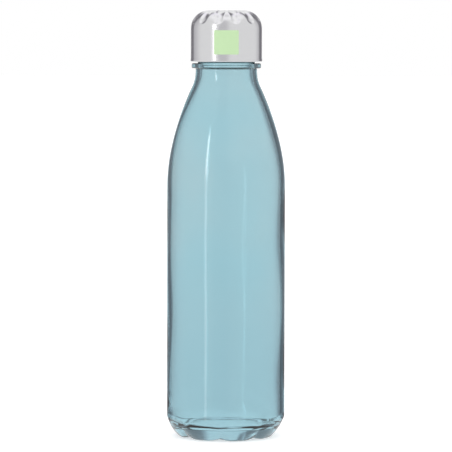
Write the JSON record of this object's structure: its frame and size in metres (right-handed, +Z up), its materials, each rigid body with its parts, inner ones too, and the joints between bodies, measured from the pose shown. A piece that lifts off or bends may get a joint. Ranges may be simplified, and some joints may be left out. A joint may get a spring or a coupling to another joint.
{
  "type": "glass water bottle",
  "caption": "Tall tinted glass water bottle with a sloping shoulder, a lobed heel and a fluted steel screw cap that unscrews and lifts clear.",
  "frame": {"origin": "centre of the base circle, on the surface that the bottle stands on", "axes": "+Z up along the bottle's axis; -Y is the front, where the patch on the cap faces at rest"},
  "size_m": [0.07, 0.07, 0.2521],
  "materials": {
    "tinted_glass": "clear pale aqua tinted glass, gloss",
    "brushed_steel": "satin stainless steel, pressed",
    "liner_plastic": "natural moulded polypropylene",
    "gasket_silicone": "translucent silicone",
    "print_ink": "flat pale green printed film"
  },
  "bodies": {
    "bottle": {"glass_bottle": "tinted_glass"},
    "cap_carriage": {"sealing_gasket": "gasket_silicone"},
    "cap": {"cap_shell": "brushed_steel", "cap_liner": "liner_plastic", "print_patch": "print_ink"}
  },
  "joints": [
    {"name": "cap_lift", "type": "slide", "parent": "bottle", "child": "cap_carriage", "axis": [0, 0, 1], "range_m": [0, 0.0271]},
    {"name": "cap_turn", "type": "hinge", "parent": "cap_carriage", "child": "cap", "pos_m": [0, 0, 0.222], "axis": [0, 0, 1], "range_deg": [0, 2160]}
  ],
  "couplings": [
    {"joint": "cap_lift", "follows": "cap_turn", "m_per_rad": 0.0007162}
  ]
}
